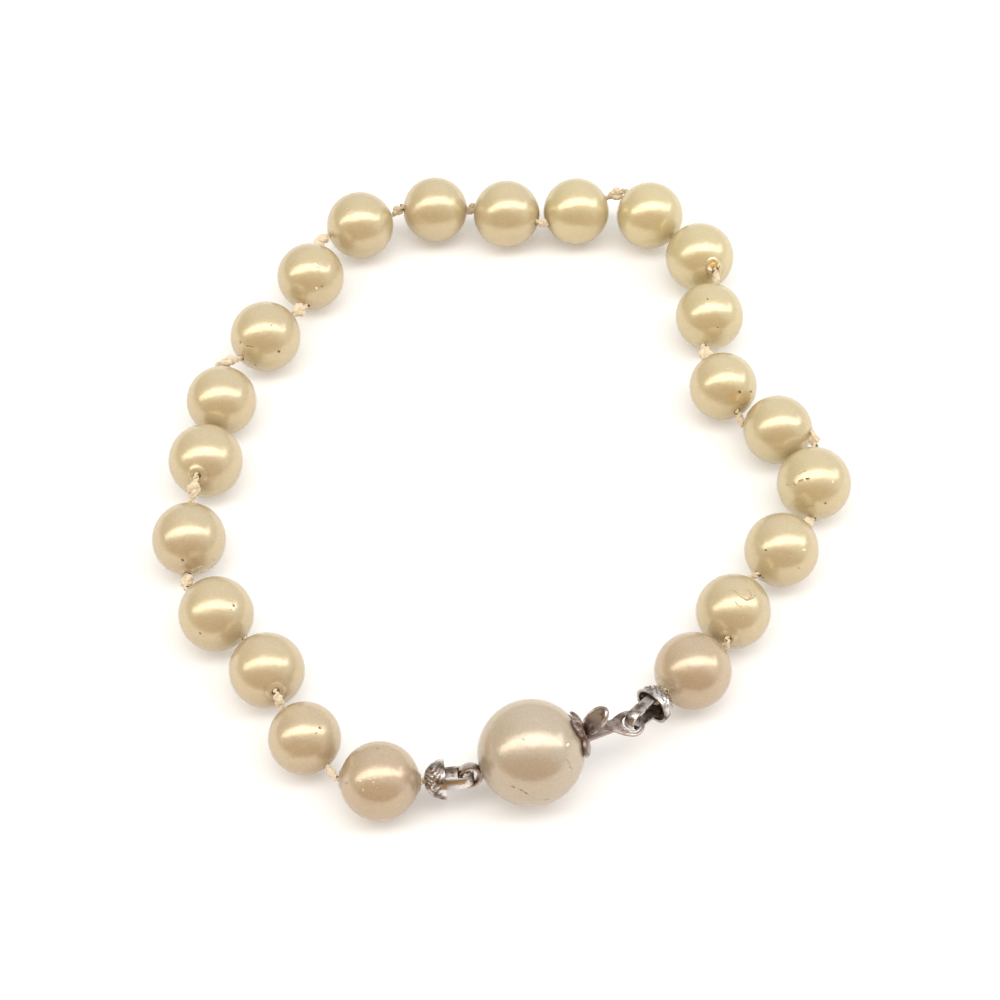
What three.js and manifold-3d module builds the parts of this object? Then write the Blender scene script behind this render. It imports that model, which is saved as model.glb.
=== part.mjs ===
// A pearl bracelet lying open on a table: one string of knotted pearls with a snap clasp set in a larger
// pearl. Millimetres, +Z up, the table at z = 0.
import * as THREE from "three";
import { mergeVertices } from "three/addons/utils/BufferGeometryUtils.js";
import Module from "manifold-3d";

const wasm = await Module();
wasm.setup();

// ---------------------------------------------------------------- driving dimensions
const PEARL_SIDES = 16; // flats around the drill hole
const PEARL_BANDS = 9; // flat bands from hole to hole, odd so that one lies on the equator
const DRILL_RADIUS = 0.42;

const THREAD_RADIUS = 0.2;
const THREAD_SIDES = 6;
const KNOT_RADIUS = 0.68;
const SMALL_KNOT_RADIUS = 0.3;
const KNOT_CLEARANCE = 0.2; // between a knot and the pearls on each side of it
const MOUTH_GAP = 0.1; // the thread starts to bend this far outside a drill hole
const HOLE_RUN = 0.8; // share of the radius between which the thread keeps to the hole's axis
const KNOT_STRETCH = 1.15; // length of a knot along the thread, for its width

const CUP_RADIUS = 1.85;
const CUP_DEPTH = 1.95;
const CUP_WALL = 0.35;
const CUP_HOLE_RADIUS = 0.4;
const CUP_KNOT_RADIUS = 0.55;
const CUP_KNOT_DEPTH = 1.05; // centre of the end knot, in from the crown of the cup
const STRAP_THICKNESS = 0.3;
const STRAP_WIDTH = 1.0;
const LOOP_HALF_HEIGHT = 1.2;
const LOOP_ROOT = 0.7; // where the legs of the loop start, in from the crown of the cup
const CUP_SIDES = 16;
const CUP_BANDS = 5;

const CLASP_PEARL_RADIUS = 4.8;
const CLASP_PEARL_SIDES = 24;
const CLASP_PEARL_BANDS = 12;
const SOCKET_BORE_RADIUS = 1.6;
const SOCKET_BORE_END = -3.1;
const PEG_BORE_RADIUS = 0.72;
const BARREL_RADIUS = 1.5;
const BARREL_WALL = 0.26;
const BARREL_INNER_END = -3.0;
const BARREL_SIDES = 18;
const CAP_SEAT_RADIUS = 4.95; // underside of the petal cap, clear of the pearl
const CAP_THICKNESS = 0.34;
const CAP_FLOOR = 0.3; // metal left between the barrel's bore and the seat of the cap
const BARREL_SHOULDER = 0.2; // the barrel closes to a point over this length, inside the cap
const PETAL_OFFSET = 1.35;
const PETAL_RADIUS = 1.0;
const PETAL_HEIGHT = 0.42;
const SLOT_WIDTH = 1.7;
const SLOT_HEIGHT = 2.0;

const EYE_RING_CENTRE = -5.8; // along the clasp, from the middle of its pearl
const EYE_RING_OUTER = 1.12;
const EYE_RING_INNER = 0.7;
const EYE_RING_WIDTH = 0.9;
const PEG_RADIUS = 0.5;
const PEG_TIP_RADIUS = 0.4; // where the peg meets the ring
const PEG_INNER_END = -3.6;

const TONGUE_WIDTH = 1.3;
const TONGUE_THICKNESS = 0.35;
const JOINT_OVERLAP = 0.1; // how far soldered parts of one piece run into each other
const TONGUE_TOP = -0.5; // height of the lower leaf's upper face over the clasp's axis
const FOLD_X = -2.55;
const FOLD_TOP = 0;
const FOLD_THICKNESS = 0.3;
const TONGUE_BEND_X = 7.4;
const PLATE_BEND = 28; // degrees down
const PLATE_REACH = 2.1; // bend to the middle of the eye
const PLATE_RADIUS = 1.3;
const PLATE_EYE_RADIUS = 0.8;
const PLATE_SHOULDER = { along: 0.84, half: 1.1 }; // where the neck of the plate meets its round
const PLATE_ROUND = 0.62; // share of a half turn that the round takes up on each side

const LEVER_START_X = -2.1;
const LEVER_START_Z = -0.23;
const LEVER_END_X = 5.0;
const LEVER_SLOPE = 5; // degrees, the spring's spread at rest
const LEVER_THICKNESS = 0.3;
const LEVER_WIDTH = 1.2;
const TAB_RISE = 38; // degrees over the clasp's axis
const TAB_LENGTH = 3.5;
const TAB_WIDTH = 2.1;
const TAB_THICKNESS = 0.35;
const TAB_NECK = 0.7; // length of the straight neck under the oval
const TAB_OVAL_CENTRE = 2.03;
const TAB_ROUND = 0.72; // share of a half turn that the oval takes up on each side

// Where each piece lies on the table. Angles are in degrees: turn is the heading seen from above, counted
// from +X towards +Y, rise is the climb over the table, roll is about the piece's own axis.
const CLASP = { x: 2.76, y: -30.32, turn: 16.5, rise: 13 };
const EYE_RING_ROLL = -32;
// The reach of a cup is from its crown to the middle of the strap at the far bend of its loop.
const LEFT_CUP = { x: -6.8, y: -32.4, z: 3.32, turn: 6, rise: 1, roll: -32, reach: 4.38 };
const RIGHT_CUP = { x: 15.06, y: -24.35, z: 4.77, turn: 224, rise: 4, roll: 100, reach: 4.9 };

// The pearls in the order of the thread, clockwise from the left cup: turn and rise are those of the hole.
const PEARLS = [
  { x: -10.7, y: -32.5, turn: 178, rise: 1, radius: 3.55 },
  { x: -17.6, y: -28.1, turn: 129, rise: 9, radius: 3.3 },
  { x: -21.4, y: -21.2, turn: 110, rise: -24, radius: 3.49 },
  { x: -26.5, y: -15.2, turn: 142, rise: 13, radius: 3.52 },
  { x: -29.7, y: -6.9, turn: 91, rise: 9, radius: 3.53 },
  { x: -28.8, y: 2.2, turn: 83, rise: -32, radius: 3.63 },
  { x: -27.8, y: 9.6, turn: 98, rise: 27, radius: 3.48 },
  { x: -23.9, y: 17.7, turn: 50, rise: 0, radius: 3.57 },
  { x: -19.7, y: 25.7, turn: 85, rise: 9, radius: 3.47 },
  { x: -14.8, y: 32.7, turn: 25, rise: -3, radius: 3.52 },
  { x: -6.9, y: 35.0, turn: 7, rise: -16, radius: 3.41 },
  { x: 0.7, y: 34.3, turn: 335, rise: 7, radius: 3.52 },
  { x: 8.1, y: 34.7, turn: 30, rise: 0, radius: 3.49 },
  { x: 15.9, y: 34.1, turn: 317, rise: -20, radius: 3.51 },
  { x: 20.9, y: 28.3, turn: 294, rise: 24, radius: 3.55 },
  { x: 21.5, y: 20.4, turn: 257, rise: -9, radius: 3.46 },
  { x: 22.4, y: 11.5, turn: 291, rise: 0, radius: 3.38 },
  { x: 27.5, y: 6.1, turn: 340, rise: 19, radius: 3.41 },
  { x: 30.5, y: -0.5, turn: 265, rise: -15, radius: 3.6 },
  { x: 26.8, y: -8.1, turn: 228, rise: -2, radius: 3.54 },
  { x: 21.8, y: -14.9, turn: 257, rise: 12, radius: 3.51 },
  { x: 17.7, y: -21.3, turn: 217, rise: 7, radius: 3.57 },
];

// ---------------------------------------------------------------- materials
function pearlNacre(colour) {
  return new THREE.MeshStandardMaterial({ color: colour, roughness: 0.28, metalness: 0.05 });
}

function silverMetal(colour) {
  return new THREE.MeshStandardMaterial({ color: colour, roughness: 0.3, metalness: 0.95 });
}

const silk = new THREE.MeshStandardMaterial({ color: 0xd8c9a0, roughness: 0.85, metalness: 0 });

// ---------------------------------------------------------------- helpers
const radians = THREE.MathUtils.degToRad;

// A three.js geometry as a manifold solid, for joining and cutting.
function solid(geometry) {
  const bare = geometry.clone();
  bare.deleteAttribute("normal");
  bare.deleteAttribute("uv");
  const merged = mergeVertices(bare, 1e-4);
  const mesh = new wasm.Mesh({
    numProp: 3,
    vertProperties: new Float32Array(merged.attributes.position.array),
    triVerts: new Uint32Array(merged.index.array),
  });
  return new wasm.Manifold(mesh);
}

// A manifold solid as a flat-shaded three.js geometry.
function faces(body) {
  const mesh = body.getMesh();
  const geometry = new THREE.BufferGeometry();
  geometry.setAttribute("position", new THREE.BufferAttribute(mesh.vertProperties, mesh.numProp));
  geometry.setIndex(new THREE.BufferAttribute(mesh.triVerts, 1));
  const flat = geometry.toNonIndexed();
  flat.computeVertexNormals();
  return flat;
}

function direction(turn, rise) {
  const flat = Math.cos(radians(rise));
  return new THREE.Vector3(
    flat * Math.cos(radians(turn)),
    flat * Math.sin(radians(turn)),
    Math.sin(radians(rise)),
  );
}

// A profile of [along, out] points turned about X.
function turnedAboutX(profile, sides) {
  const points = profile.map(([along, out]) => new THREE.Vector2(out, along));
  return new THREE.LatheGeometry(points, sides).rotateZ(-Math.PI / 2);
}

// Points of an arc about the axis, as [along, out], between two angles from the -X end.
function arcProfile(radius, from, to, steps) {
  const points = [];
  for (let i = 0; i <= steps; i += 1) {
    const angle = from + ((to - from) * i) / steps;
    points.push([-radius * Math.cos(angle), radius * Math.sin(angle)]);
  }
  return points;
}

// A flat outline in the XZ plane, extruded evenly to both sides along Y.
function extrudedAlongY(outline, width) {
  const shape = new THREE.Shape(outline.map(([x, z]) => new THREE.Vector2(x, z)));
  const geometry = new THREE.ExtrudeGeometry(shape, { depth: width, bevelEnabled: false });
  return geometry.translate(0, 0, -width / 2).rotateX(Math.PI / 2);
}

// ---------------------------------------------------------------- pearls
// Each flat of a pearl touches the true ball, so the corners stand a little outside it.
const CORNER_SWELL = 1 / (Math.cos(Math.PI / PEARL_SIDES) * Math.cos(Math.PI / PEARL_BANDS / 2));

// A drilled pearl about Y, with the middle of one flat of its equator facing +Z.
function pearlGeometry(radius) {
  const corner = radius * CORNER_SWELL;
  const holeAngle = Math.asin(DRILL_RADIUS / corner);
  const profile = arcProfile(corner, holeAngle, Math.PI - holeAngle, PEARL_BANDS);
  const points = profile.map(([along, out]) => new THREE.Vector2(out, along));
  points.push(points[0].clone());
  return new THREE.LatheGeometry(points, PEARL_SIDES, Math.PI / PEARL_SIDES);
}

// The turn that takes +Y along the hole and +Z as nearly down as the hole allows.
function pearlTurn(hole) {
  const down = new THREE.Vector3(0, 0, -1).addScaledVector(hole, hole.z).normalize();
  const side = new THREE.Vector3().crossVectors(hole, down);
  return new THREE.Quaternion().setFromRotationMatrix(new THREE.Matrix4().makeBasis(side, hole, down));
}

// A pearl's mesh, set down so that its lowest corner or flat touches the table.
function pearlMesh(row, index) {
  const mesh = new THREE.Mesh(pearlGeometry(row.radius), pearlNacre(0xead9b0));
  mesh.name = `pearl_${String(index + 1).padStart(2, "0")}`;
  mesh.quaternion.copy(pearlTurn(direction(row.turn, row.rise)));
  const lowest = new THREE.Box3().setFromObject(mesh, true).min.z;
  mesh.position.set(row.x, row.y, -lowest);
  return mesh;
}

const pearls = PEARLS.map(pearlMesh);

// ---------------------------------------------------------------- bead cups and their loops
// A hollow cup about X with its crown at the origin and its mouth towards +X, and a flat-band loop
// soldered inside it. The band bends in the XY plane.
function cupSolid(reach) {
  const outer = [];
  const inner = [];
  const holeAngle = Math.asin(CUP_HOLE_RADIUS / CUP_RADIUS);
  const innerHoleAngle = Math.asin(CUP_HOLE_RADIUS / (CUP_RADIUS - CUP_WALL));
  for (let i = 0; i <= CUP_BANDS; i += 1) {
    const angle = holeAngle + ((Math.PI / 2 - holeAngle) * i) / CUP_BANDS;
    outer.push([CUP_DEPTH * (1 - Math.cos(angle)), CUP_RADIUS * Math.sin(angle)]);
  }
  for (let i = CUP_BANDS; i >= 0; i -= 1) {
    const angle = innerHoleAngle + ((Math.PI / 2 - innerHoleAngle) * i) / CUP_BANDS;
    const depth = CUP_DEPTH - CUP_WALL;
    inner.push([CUP_DEPTH - depth * Math.cos(angle), (CUP_RADIUS - CUP_WALL) * Math.sin(angle)]);
  }
  const bowl = turnedAboutX([...outer, ...inner, outer[0]], CUP_SIDES);
  return solid(bowl).add(solid(loopGeometry(reach)));
}

// The U of the loop: two legs that start in the wall of the cup, and a round bend at the far end.
function loopGeometry(reach) {
  const outer = LOOP_HALF_HEIGHT;
  const inner = outer - STRAP_THICKNESS;
  const start = LOOP_ROOT;
  const centre = reach + STRAP_THICKNESS / 2 - outer;
  const shape = new THREE.Shape();
  shape.moveTo(start, -outer);
  shape.lineTo(centre, -outer);
  shape.absarc(centre, 0, outer, -Math.PI / 2, Math.PI / 2, false);
  shape.lineTo(start, outer);
  shape.lineTo(start, inner);
  shape.lineTo(centre, inner);
  shape.absarc(centre, 0, inner, Math.PI / 2, -Math.PI / 2, true);
  shape.lineTo(start, -inner);
  const band = { depth: STRAP_WIDTH, bevelEnabled: false, curveSegments: 10 };
  return new THREE.ExtrudeGeometry(shape, band).translate(0, 0, -STRAP_WIDTH / 2);
}

function cupMesh(name, place) {
  const mesh = new THREE.Mesh(faces(cupSolid(place.reach)), silverMetal(0xb9b2a8));
  mesh.name = name;
  mesh.position.set(place.x, place.y, place.z);
  mesh.rotation.set(radians(place.roll), -radians(place.rise), radians(place.turn), "ZYX");
  return mesh;
}

const leftCup = cupMesh("bead_cup_left", LEFT_CUP);
const rightCup = cupMesh("bead_cup_right", RIGHT_CUP);

// ---------------------------------------------------------------- clasp, about X, tongue towards +X
function claspPearlGeometry() {
  const radius = CLASP_PEARL_RADIUS;
  const from = Math.asin(PEG_BORE_RADIUS / radius);
  const to = Math.PI - Math.asin(SOCKET_BORE_RADIUS / radius);
  const profile = arcProfile(radius, from, to, CLASP_PEARL_BANDS);
  profile.push([SOCKET_BORE_END, SOCKET_BORE_RADIUS]);
  profile.push([SOCKET_BORE_END, PEG_BORE_RADIUS]);
  profile.push(profile[0]);
  return turnedAboutX(profile, CLASP_PEARL_SIDES);
}

// The petal cap with the slotted barrel that is soldered behind it.
function socketSolid() {
  const hubRim = Math.asin(BARREL_RADIUS / CAP_SEAT_RADIUS);
  const dome = arcProfile(CAP_SEAT_RADIUS + CAP_THICKNESS, Math.PI - hubRim, Math.PI, 3);
  const hub = turnedAboutX([[0, 0], [0, BARREL_RADIUS], ...dome], BARREL_SIDES);
  const petal = new THREE.SphereGeometry(PETAL_RADIUS, 10, 6);
  petal.scale(PETAL_HEIGHT / PETAL_RADIUS, 1, 1);
  let cap = solid(hub);
  for (let quarter = 0; quarter < 4; quarter += 1) {
    const lobe = petal.clone().translate(CAP_SEAT_RADIUS, 0, 0);
    lobe.rotateZ(Math.asin(PETAL_OFFSET / CAP_SEAT_RADIUS));
    lobe.rotateX((quarter * Math.PI) / 2);
    cap = cap.add(solid(lobe));
  }
  const seat = new THREE.SphereGeometry(CAP_SEAT_RADIUS, 28, 20);
  cap = cap.subtract(solid(seat));
  const barrelEnd = CAP_SEAT_RADIUS + CAP_THICKNESS / 2;
  const barrel = turnedAboutX(
    [
      [BARREL_INNER_END, 0],
      [BARREL_INNER_END, BARREL_RADIUS],
      [barrelEnd - BARREL_SHOULDER, BARREL_RADIUS],
      [barrelEnd, 0],
    ],
    BARREL_SIDES,
  );
  const bore = turnedAboutX(
    [
      [BARREL_INNER_END + BARREL_WALL, 0],
      [BARREL_INNER_END + BARREL_WALL, BARREL_RADIUS - BARREL_WALL],
      [CAP_SEAT_RADIUS - CAP_FLOOR, BARREL_RADIUS - BARREL_WALL],
      [CAP_SEAT_RADIUS - CAP_FLOOR, 0],
    ],
    BARREL_SIDES,
  );
  const slot = new THREE.BoxGeometry(4, SLOT_WIDTH, SLOT_HEIGHT).translate(CAP_SEAT_RADIUS + 1, 0, 0);
  return cap.add(solid(barrel)).subtract(solid(bore)).subtract(solid(slot));
}

// The flat-band ring on the other side of the pearl, with the peg that is glued into it.
function eyeRingSolid() {
  const half = EYE_RING_WIDTH / 2;
  const band = new THREE.LatheGeometry(
    [
      new THREE.Vector2(EYE_RING_INNER, -half),
      new THREE.Vector2(EYE_RING_OUTER, -half),
      new THREE.Vector2(EYE_RING_OUTER, half),
      new THREE.Vector2(EYE_RING_INNER, half),
      new THREE.Vector2(EYE_RING_INNER, -half),
    ],
    20,
  );
  band.translate(EYE_RING_CENTRE, 0, 0).rotateX(radians(EYE_RING_ROLL));
  const pegEnd = EYE_RING_CENTRE + (EYE_RING_OUTER + EYE_RING_INNER) / 2;
  const peg = turnedAboutX(
    [[pegEnd, 0], [pegEnd, PEG_TIP_RADIUS], [PEG_INNER_END, PEG_RADIUS], [PEG_INNER_END, 0]],
    12,
  );
  return solid(band).add(solid(peg));
}

// The lower leaf of the folded tongue, with the plate and eye at its outer end.
function tongueSolid() {
  const bottom = TONGUE_TOP - TONGUE_THICKNESS;
  const leaf = extrudedAlongY(
    [
      [FOLD_X, bottom],
      [TONGUE_BEND_X + JOINT_OVERLAP, bottom],
      [TONGUE_BEND_X + JOINT_OVERLAP, TONGUE_TOP],
      [FOLD_X + FOLD_THICKNESS, TONGUE_TOP],
      [FOLD_X + FOLD_THICKNESS, FOLD_TOP],
      [FOLD_X, FOLD_TOP],
    ],
    TONGUE_WIDTH,
  );
  const half = TONGUE_WIDTH / 2;
  const plate = new THREE.Shape();
  const round = Math.PI * PLATE_ROUND;
  plate.moveTo(-JOINT_OVERLAP, -half);
  plate.lineTo(PLATE_SHOULDER.along, -PLATE_SHOULDER.half);
  plate.absarc(PLATE_REACH, 0, PLATE_RADIUS, -round, round, false);
  plate.lineTo(PLATE_SHOULDER.along, PLATE_SHOULDER.half);
  plate.lineTo(-JOINT_OVERLAP, half);
  const eye = new THREE.Path();
  eye.absarc(PLATE_REACH, 0, PLATE_EYE_RADIUS, 0, Math.PI * 2, true);
  plate.holes.push(eye);
  const sheet = { depth: TONGUE_THICKNESS, bevelEnabled: false, curveSegments: 10 };
  const bent = new THREE.ExtrudeGeometry(plate, sheet).translate(0, 0, -TONGUE_THICKNESS);
  bent.rotateY(radians(PLATE_BEND)).translate(TONGUE_BEND_X, 0, TONGUE_TOP);
  return solid(leaf).add(solid(bent));
}

// The upper leaf, which springs from the fold, and the thumb tab at its outer end.
function leverSolid() {
  const length = LEVER_END_X - LEVER_START_X;
  const half = LEVER_THICKNESS / 2;
  const leaf = extrudedAlongY([[0, -half], [length, -half], [length, half], [0, half]], LEVER_WIDTH);
  leaf.rotateY(-radians(LEVER_SLOPE)).translate(LEVER_START_X, 0, LEVER_START_Z);
  const tab = new THREE.Shape();
  const neck = LEVER_WIDTH / 2;
  const reach = TAB_LENGTH - TAB_OVAL_CENTRE;
  const round = Math.PI * TAB_ROUND;
  tab.moveTo(-JOINT_OVERLAP, -neck);
  tab.lineTo(TAB_NECK, -neck);
  tab.absellipse(TAB_OVAL_CENTRE, 0, reach, TAB_WIDTH / 2, -round, round, false, 0);
  tab.lineTo(TAB_NECK, neck);
  tab.lineTo(-JOINT_OVERLAP, neck);
  const sheet = { depth: TAB_THICKNESS, bevelEnabled: false, curveSegments: 14 };
  const raised = new THREE.ExtrudeGeometry(tab, sheet).translate(0, 0, -TAB_THICKNESS / 2);
  const endZ = LEVER_START_Z + length * Math.sin(radians(LEVER_SLOPE));
  raised.rotateY(-radians(TAB_RISE)).translate(LEVER_END_X, 0, endZ);
  return solid(leaf).add(solid(raised));
}

function claspMesh(name, geometry, material) {
  const mesh = new THREE.Mesh(geometry, material);
  mesh.name = name;
  return mesh;
}

const clasp = new THREE.Group();
clasp.rotation.set(0, -radians(CLASP.rise), radians(CLASP.turn), "ZYX");
clasp.add(claspMesh("clasp_pearl", claspPearlGeometry(), pearlNacre(0xe6dccb)));
const claspFoot = new THREE.Box3().setFromObject(clasp, true).min.z;
clasp.position.set(CLASP.x, CLASP.y, -claspFoot);
clasp.add(claspMesh("clasp_socket", faces(socketSolid()), silverMetal(0x8f857c)));
clasp.add(claspMesh("clasp_eye_ring", faces(eyeRingSolid()), silverMetal(0x9a9088)));
clasp.add(claspMesh("clasp_tongue", faces(tongueSolid()), silverMetal(0xa39a90)));
clasp.add(claspMesh("thumb_lever", faces(leverSolid()), silverMetal(0xa8a29c)));

// ---------------------------------------------------------------- silk thread and its knots
// Straight runs between the given points, one step for each, so that a sweep has a ring at every point.
class ThreadRoute extends THREE.Curve {
  constructor(points) {
    super();
    this.points = points;
  }

  getPoint(share) {
    const last = this.points.length - 1;
    const place = Math.min(share * last, last - 1e-6);
    const index = Math.floor(place);
    return this.points[index].clone().lerp(this.points[index + 1], place - index);
  }

  getPointAt(share) {
    return this.getPoint(share);
  }

  getTangentAt(share) {
    const step = 0.5 / (this.points.length - 1);
    const before = this.getPoint(Math.max(share - step, 0));
    return this.getPoint(Math.min(share + step, 1)).sub(before).normalize();
  }
}

function cupPoint(cup, depth) {
  cup.updateMatrixWorld(true);
  return cup.localToWorld(new THREE.Vector3(depth, 0, 0));
}

// The knot between two drill holes: as large as the room there allows.
function knotBetween(mouth, nextMouth, pearl, nextPearl) {
  const centre = mouth.clone().add(nextMouth).multiplyScalar(0.5);
  const room = Math.min(
    centre.distanceTo(pearl.position) - pearl.reach,
    centre.distanceTo(nextPearl.position) - nextPearl.reach,
  );
  const radius = THREE.MathUtils.clamp(room - KNOT_CLEARANCE / 2, SMALL_KNOT_RADIUS, KNOT_RADIUS);
  const length = Math.min(radius * KNOT_STRETCH, mouth.distanceTo(nextMouth) / 2);
  return { centre, radius, length, line: nextMouth.clone().sub(mouth).normalize() };
}

function threadSolid() {
  const drilled = PEARLS.map((row, index) => {
    const hole = direction(row.turn, row.rise);
    const reach = row.radius * CORNER_SWELL;
    const at = (along) => pearls[index].position.clone().addScaledVector(hole, along);
    return {
      position: pearls[index].position,
      reach,
      entry: at(-reach - MOUTH_GAP),
      exit: at(reach + MOUTH_GAP),
      inner: [at(-reach * HOLE_RUN), at(reach * HOLE_RUN)],
    };
  });
  const knots = [];
  const route = [cupPoint(leftCup, CUP_KNOT_DEPTH), cupPoint(leftCup, -MOUTH_GAP)];
  drilled.forEach((pearl, index) => {
    route.push(pearl.entry, ...pearl.inner, pearl.exit);
    const next = drilled[index + 1];
    if (!next) return;
    const knot = knotBetween(pearl.exit, next.entry, pearl, next);
    route.push(knot.centre);
    knots.push(knot);
  });
  route.push(cupPoint(rightCup, -MOUTH_GAP), cupPoint(rightCup, CUP_KNOT_DEPTH));

  const section = new THREE.Shape();
  for (let side = 0; side < THREAD_SIDES; side += 1) {
    const angle = (side * 2 * Math.PI) / THREAD_SIDES;
    const corner = [THREAD_RADIUS * Math.cos(angle), THREAD_RADIUS * Math.sin(angle)];
    if (side === 0) section.moveTo(...corner);
    else section.lineTo(...corner);
  }
  const sweep = { steps: route.length - 1, extrudePath: new ThreadRoute(route), bevelEnabled: false };
  let thread = solid(new THREE.ExtrudeGeometry(section, sweep));
  for (const knot of knots) {
    const ball = new THREE.SphereGeometry(1, 6, 5).scale(knot.radius, knot.length, knot.radius);
    const turn = new THREE.Quaternion().setFromUnitVectors(new THREE.Vector3(0, 1, 0), knot.line);
    thread = thread.add(solid(ball.applyQuaternion(turn).translate(...knot.centre.toArray())));
  }
  for (const end of [route[0], route[route.length - 1]]) {
    const ball = new THREE.SphereGeometry(CUP_KNOT_RADIUS, 8, 5).translate(...end.toArray());
    thread = thread.add(solid(ball));
  }
  return thread;
}

const thread = new THREE.Mesh(faces(threadSolid()), silk);
thread.name = "silk_thread";

// ---------------------------------------------------------------- the whole, centred over the origin
const lying = new THREE.Group();
lying.add(...pearls, leftCup, rightCup, clasp, thread);
const extent = new THREE.Box3().setFromObject(lying, true);
lying.position.set(-(extent.min.x + extent.max.x) / 2, -(extent.min.y + extent.max.y) / 2, -extent.min.z);

const bracelet = new THREE.Group();
bracelet.add(lying);

export default bracelet;
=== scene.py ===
"""A knotted pearl bracelet with a snap clasp, lying closed on a pale table.

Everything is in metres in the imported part's own frame. MM turns millimetres into metres.
"""

import math

import bpy
import numpy as np
from mathutils import Matrix, Vector


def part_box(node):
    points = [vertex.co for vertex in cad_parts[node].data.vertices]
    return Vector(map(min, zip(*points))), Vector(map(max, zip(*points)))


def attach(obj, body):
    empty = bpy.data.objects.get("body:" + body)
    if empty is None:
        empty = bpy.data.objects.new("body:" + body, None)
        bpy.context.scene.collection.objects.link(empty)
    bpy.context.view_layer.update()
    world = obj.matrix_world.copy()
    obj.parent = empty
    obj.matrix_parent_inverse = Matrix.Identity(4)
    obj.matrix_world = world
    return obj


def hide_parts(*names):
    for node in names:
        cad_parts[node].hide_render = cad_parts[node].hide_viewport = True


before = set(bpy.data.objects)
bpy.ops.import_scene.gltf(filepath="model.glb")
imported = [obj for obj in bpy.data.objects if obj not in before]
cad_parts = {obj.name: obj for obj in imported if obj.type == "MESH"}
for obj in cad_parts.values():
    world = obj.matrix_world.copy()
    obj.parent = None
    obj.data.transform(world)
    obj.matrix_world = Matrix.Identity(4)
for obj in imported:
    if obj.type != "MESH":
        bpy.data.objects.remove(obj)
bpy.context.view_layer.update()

MM = 0.001
PEARL_COUNT = 22

# ------------------------------------------------------------------ camera and framing
VIEW_ELEVATION = math.radians(56.0)
CAMERA_DISTANCE = 212.0 * MM
CAMERA_LENS = 77.33
CAMERA_AIM = Vector((-0.456, -1.202, 0.0)) * MM

# Two directions of the usual view: to the right, and towards the eye.
RIGHT = Vector((1, 0, 0))
TOWARDS = Vector((0, -math.cos(VIEW_ELEVATION), math.sin(VIEW_ELEVATION)))


def make_camera():
    data = bpy.data.cameras.new("camera")
    data.lens = CAMERA_LENS
    data.sensor_width = 36.0
    data.clip_start = 0.01
    camera = bpy.data.objects.new("camera", data)
    bpy.context.scene.collection.objects.link(camera)
    camera.location = CAMERA_AIM + TOWARDS * CAMERA_DISTANCE
    camera.rotation_euler = (math.pi / 2 - VIEW_ELEVATION, 0, 0)
    bpy.context.scene.camera = camera


# ------------------------------------------------------------------ working with operators
def deselect():
    if bpy.context.object and bpy.context.object.mode != "OBJECT":
        bpy.ops.object.mode_set(mode="OBJECT")
    bpy.ops.object.select_all(action="DESELECT")


def take(*objects):
    """Selects just these objects, with the first one active."""
    deselect()
    for one in objects:
        one.select_set(True)
    bpy.context.view_layer.objects.active = objects[0]
    return objects[0]


def newest(name):
    made = bpy.context.object
    made.name = name
    made.data.name = name
    return made


def corners(piece):
    flat = np.zeros(len(piece.data.vertices) * 3)
    piece.data.vertices.foreach_get("co", flat)
    return flat.reshape(-1, 3)


def put_corners(piece, places):
    piece.data.vertices.foreach_set("co", np.asarray(places, float).ravel())
    piece.data.update()


def pick(piece, kind, test):
    """Selects only the faces, edges or vertices that pass the test."""
    mesh = piece.data
    for group in (mesh.vertices, mesh.edges, mesh.polygons):
        group.foreach_set("select", np.zeros(len(group), bool))
    chosen = {"FACE": mesh.polygons, "EDGE": mesh.edges, "VERT": mesh.vertices}[kind]
    for part in chosen:
        part.select = bool(test(part))


def editing(piece, kind):
    """Goes into edit mode on one piece, with that kind of part selectable."""
    take(piece)
    bpy.ops.object.mode_set(mode="EDIT")
    bpy.ops.mesh.select_mode(type=kind)


def done_editing():
    bpy.ops.object.mode_set(mode="OBJECT")


def tidy(piece):
    """Merges doubles and turns every face outwards."""
    editing(piece, "VERT")
    bpy.ops.mesh.select_all(action="SELECT")
    bpy.ops.mesh.remove_doubles(threshold=1e-7)
    bpy.ops.mesh.normals_make_consistent(inside=False)
    done_editing()


def modify(piece, kind, **settings):
    take(piece)
    modifier = piece.modifiers.new(kind.lower(), kind)
    for key, value in settings.items():
        setattr(modifier, key, value)
    bpy.ops.object.modifier_apply(modifier=modifier.name)


def bevelled(piece, width, segments=2, angle=35):
    modify(
        piece, "BEVEL", width=width, segments=segments, limit_method="ANGLE",
        angle_limit=math.radians(angle), use_clamp_overlap=True,
    )


def combined(piece, other, operation):
    """Joins or cuts two solids a thousand times larger, because the solver is too coarse at this size."""
    larger = Matrix.Scale(1 / MM, 4)
    piece.data.transform(larger)
    other.data.transform(larger)
    modify(piece, "BOOLEAN", operation=operation, object=other, solver="EXACT")
    bpy.data.objects.remove(other)
    piece.data.transform(larger.inverted())


def cut_by(piece, cutter):
    combined(piece, cutter, "DIFFERENCE")


def add_on(piece, other):
    combined(piece, other, "UNION")


def smooth(piece, angle=40):
    take(piece)
    bpy.ops.object.shade_smooth_by_angle(angle=math.radians(angle))


def joined(name, *pieces):
    whole = take(*pieces)
    bpy.ops.object.join()
    whole.name = name
    whole.data.name = name
    return whole


def copy_of(piece, name):
    double = piece.copy()
    double.data = piece.data.copy()
    double.name = name
    double.data.name = name
    bpy.context.scene.collection.objects.link(double)
    return double


def finish_piece(piece, body, slot, material, *nodes):
    piece.data.materials.clear()
    piece.data.materials.append(material)
    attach(piece, body)
    if nodes:
        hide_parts(*nodes)
    return piece


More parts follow.
